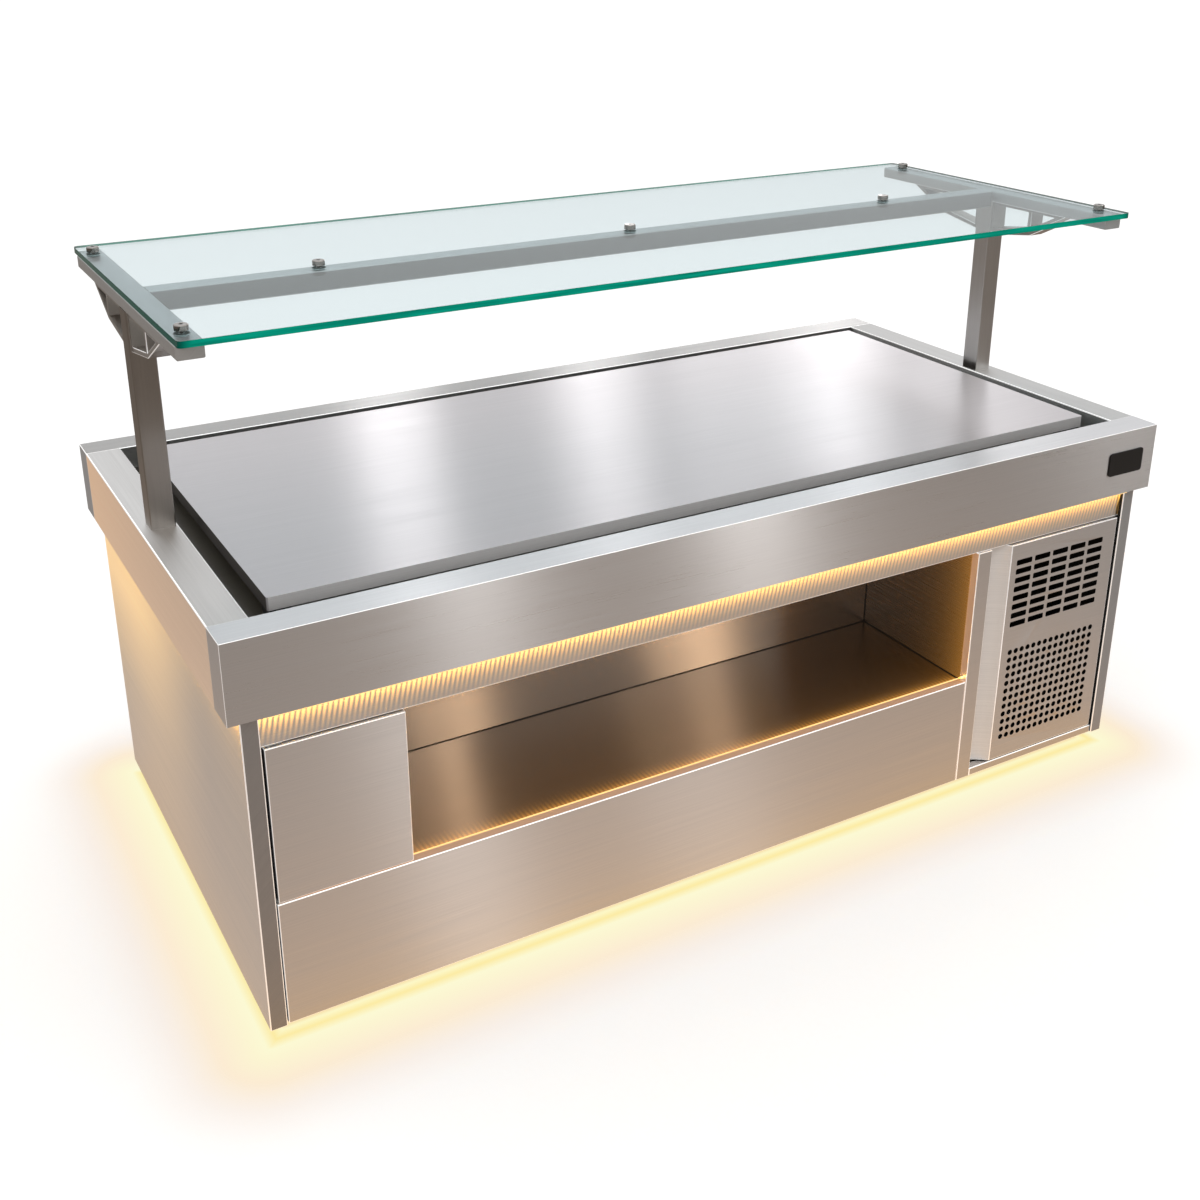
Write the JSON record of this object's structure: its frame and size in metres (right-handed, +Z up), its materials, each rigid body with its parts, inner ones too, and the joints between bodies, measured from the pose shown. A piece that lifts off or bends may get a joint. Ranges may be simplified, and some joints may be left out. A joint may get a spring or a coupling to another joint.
{
  "type": "refrigerated buffet counter",
  "caption": "Free-standing stainless buffet counter with a refrigerated cold plate, a glass food shelf on two posts, a storage niche, a louvred machine door and warm lights.",
  "frame": {"origin": "centre of the counter's footprint on the floor", "axes": "+X along the counter, towards the machine door's end; -Y is the front with the niche; +Z up"},
  "size_m": [2.2, 1.106, 1.33],
  "materials": {
    "stainless": "satin",
    "satin_sheet": "matte",
    "basin_steel": "satin",
    "plate_steel": "satin",
    "post_steel": "satin",
    "black_paint": "satin",
    "foam": "matte",
    "black_plastic": "matte",
    "copper": "satin",
    "warm_light": "gloss",
    "black_plate": "gloss",
    "clear_plastic": "gloss",
    "glass": "polished",
    "polished": "polished",
    "rubber": "matte",
    "aluminium": "satin",
    "motor_casting": "matte",
    "grey_plastic": "matte",
    "switch_green": "gloss",
    "red_grip": "satin"
  },
  "bodies": {
    "counter": {"plinth_frame": "black_paint", "bottom_pan": "satin_sheet", "side_panel_left": "stainless", "side_panel_right": "stainless", "fascia_front": "stainless", "fascia_rear": "stainless", "front_panel": "stainless", "divider_post": "stainless", "bottom_rail": "stainless", "rear_panel": "stainless", "service_panel": "stainless", "niche_shelf": "stainless", "niche_back": "stainless", "niche_ends": "stainless", "rim_front": "stainless", "rim_rear": "stainless", "rim_left": "stainless", "rim_right": "stainless", "well_casing": "satin_sheet", "well_basin": "basin_steel", "insulation": "foam", "plate_bearers": "black_plastic", "evaporator_coil": "copper", "cold_plate": "plate_steel", "rim_lights": "warm_light", "niche_light": "warm_light", "plinth_lights": "warm_light", "bare_plate": "black_plate", "post_left": "post_steel", "post_right": "post_steel", "rail_brackets": "post_steel", "glass_rails": "post_steel", "gantry_beam": "post_steel", "glass_pads": "clear_plastic", "glass_shelf": "glass", "glass_fixings": "polished", "door_hinges": "satin_sheet", "door_catches": "black_plastic", "compressor": "black_paint", "compressor_grommets": "rubber", "condenser": "aluminium", "fan_shroud": "black_paint", "fan_motor": "motor_casting", "filter_drier": "copper", "refrigerant_pipes": "copper", "control_box": "grey_plastic", "drain_pipe": "polished", "cable_gland": "black_plastic"},
    "machine_door": {"machine_door": "stainless", "door_pull": "stainless"},
    "access_door": {"access_door": "stainless"},
    "fan": {"fan_blades": "black_plastic"},
    "dial": {"thermostat_dial": "black_plastic"},
    "switch": {"power_switch": "switch_green"},
    "valve_lever": {"drain_lever": "red_grip"},
    "foot_fl": {"foot_front_left": "polished"},
    "foot_fr": {"foot_front_right": "polished"},
    "foot_rl": {"foot_rear_left": "polished"},
    "foot_rr": {"foot_rear_right": "polished"}
  },
  "joints": [
    {"name": "machine_door_hinge", "type": "hinge", "parent": "counter", "child": "machine_door", "pos_m": [1.026, -0.518, 0.34], "axis": [0, 0, 1], "range_deg": [0, 100]},
    {"name": "access_door_hinge", "type": "hinge", "parent": "counter", "child": "access_door", "pos_m": [-1.026, -0.518, 0.46], "axis": [0, 0, -1], "range_deg": [0, 100]},
    {"name": "fan_spin", "type": "hinge", "parent": "counter", "child": "fan", "pos_m": [0.84, -0.368, 0.2035], "axis": [0, 1, 0], "continuous": true},
    {"name": "dial_turn", "type": "hinge", "parent": "counter", "child": "dial", "pos_m": [-0.8355, -0.486, 0.545], "axis": [0, -1, 0], "range_deg": [0, 270]},
    {"name": "switch_rock", "type": "hinge", "parent": "counter", "child": "switch", "pos_m": [-0.8355, -0.479, 0.475], "axis": [1, 0, 0], "range_deg": [0, 16]},
    {"name": "valve_turn", "type": "hinge", "parent": "counter", "child": "valve_lever", "pos_m": [-1.0045, -0.374, 0.52], "axis": [0, 1, 0], "range_deg": [0, 90]},
    {"name": "foot_fl_thread", "type": "slide", "parent": "counter", "child": "foot_fl", "axis": [0, 0, -1], "range_m": [0, 0.012]},
    {"name": "foot_fr_thread", "type": "slide", "parent": "counter", "child": "foot_fr", "axis": [0, 0, -1], "range_m": [0, 0.012]},
    {"name": "foot_rl_thread", "type": "slide", "parent": "counter", "child": "foot_rl", "axis": [0, 0, -1], "range_m": [0, 0.012]},
    {"name": "foot_rr_thread", "type": "slide", "parent": "counter", "child": "foot_rr", "axis": [0, 0, -1], "range_m": [0, 0.012]}
  ]
}
